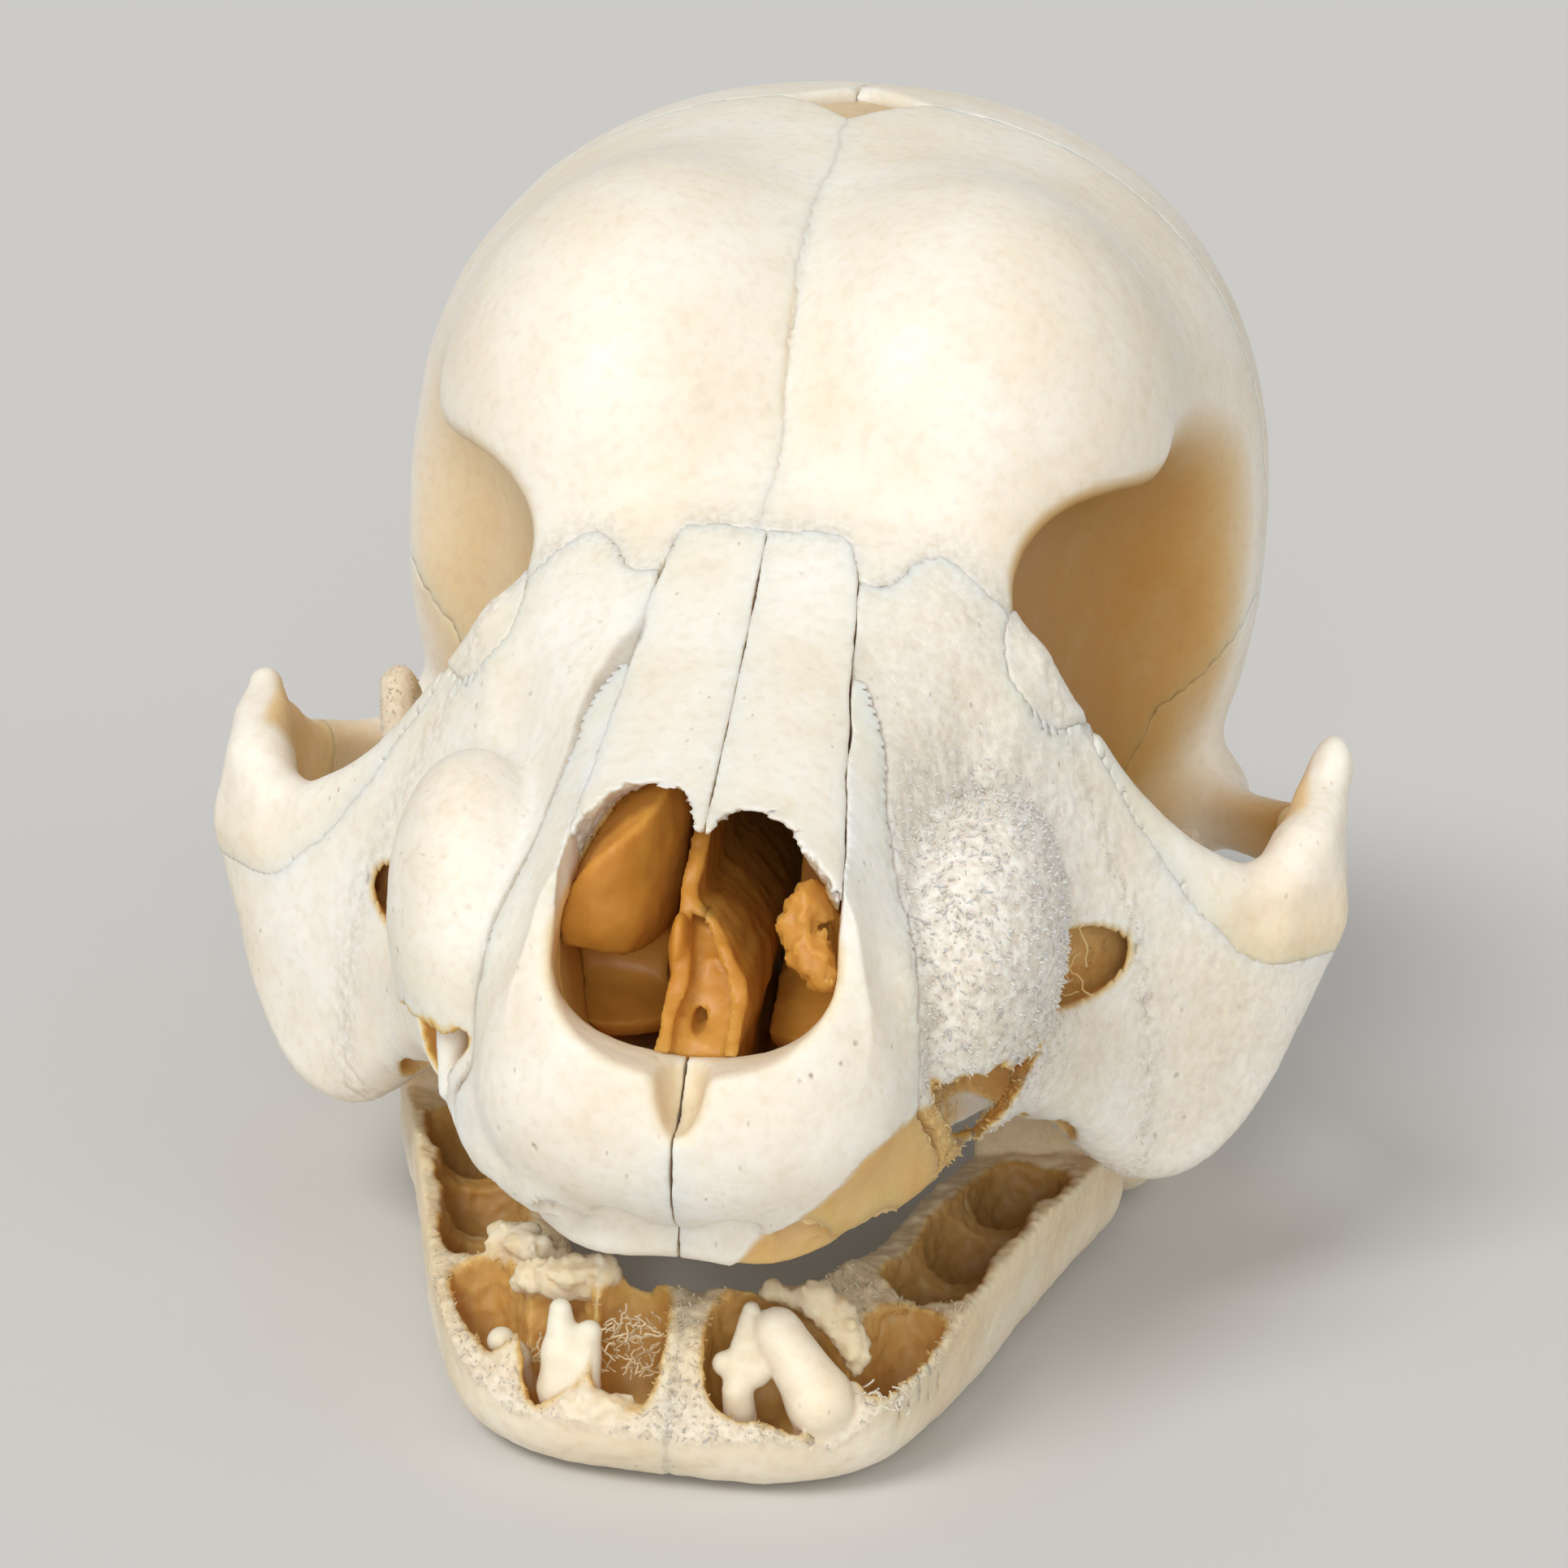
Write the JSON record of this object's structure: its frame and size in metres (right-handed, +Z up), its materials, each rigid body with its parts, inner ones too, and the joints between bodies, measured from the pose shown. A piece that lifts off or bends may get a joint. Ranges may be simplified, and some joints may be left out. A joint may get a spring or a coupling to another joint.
{
  "type": "puppy skull",
  "caption": "Skull of a newborn puppy with its lower jaw in place, bone by bone, with open sutures and tooth sockets; it rests on the jaw.",
  "frame": {"origin": "on the surface that the skull rests on, midway between its sides and its ends", "axes": "+Z up; the face looks along -Y; the skull's left side is +X"},
  "size_m": [0.0356, 0.0562, 0.0354],
  "materials": {
    "bone_vault": "matte",
    "bone_face": "matte",
    "bone_jaw": "matte",
    "bone_thin": "satin",
    "membrane": "satin"
  },
  "bodies": {
    "root": {"frontal_left": "bone_vault", "frontal_right": "bone_vault", "parietal_left": "bone_vault", "parietal_right": "bone_vault", "temporal_left": "bone_vault", "temporal_right": "bone_vault", "occipital_scale": "bone_vault", "occipital_side_left": "bone_vault", "occipital_side_right": "bone_vault", "occipital_base": "bone_vault", "sphenoid": "bone_vault", "palatine_left": "bone_face", "palatine_right": "bone_face", "nasal_left": "bone_face", "nasal_right": "bone_face", "premaxilla_left": "bone_face", "premaxilla_right": "bone_face", "maxilla_left": "bone_face", "maxilla_right": "bone_face", "lacrimal_left": "bone_face", "lacrimal_right": "bone_face", "zygomatic_left": "bone_face", "zygomatic_right": "bone_face", "mandible_left": "bone_jaw", "mandible_right": "bone_jaw", "tympanic_left": "bone_face", "tympanic_right": "bone_face", "turbinate_left": "bone_thin", "turbinate_right": "bone_thin", "vomer": "bone_thin", "fontanelle_skin": "membrane"}
  },
  "joints": []
}
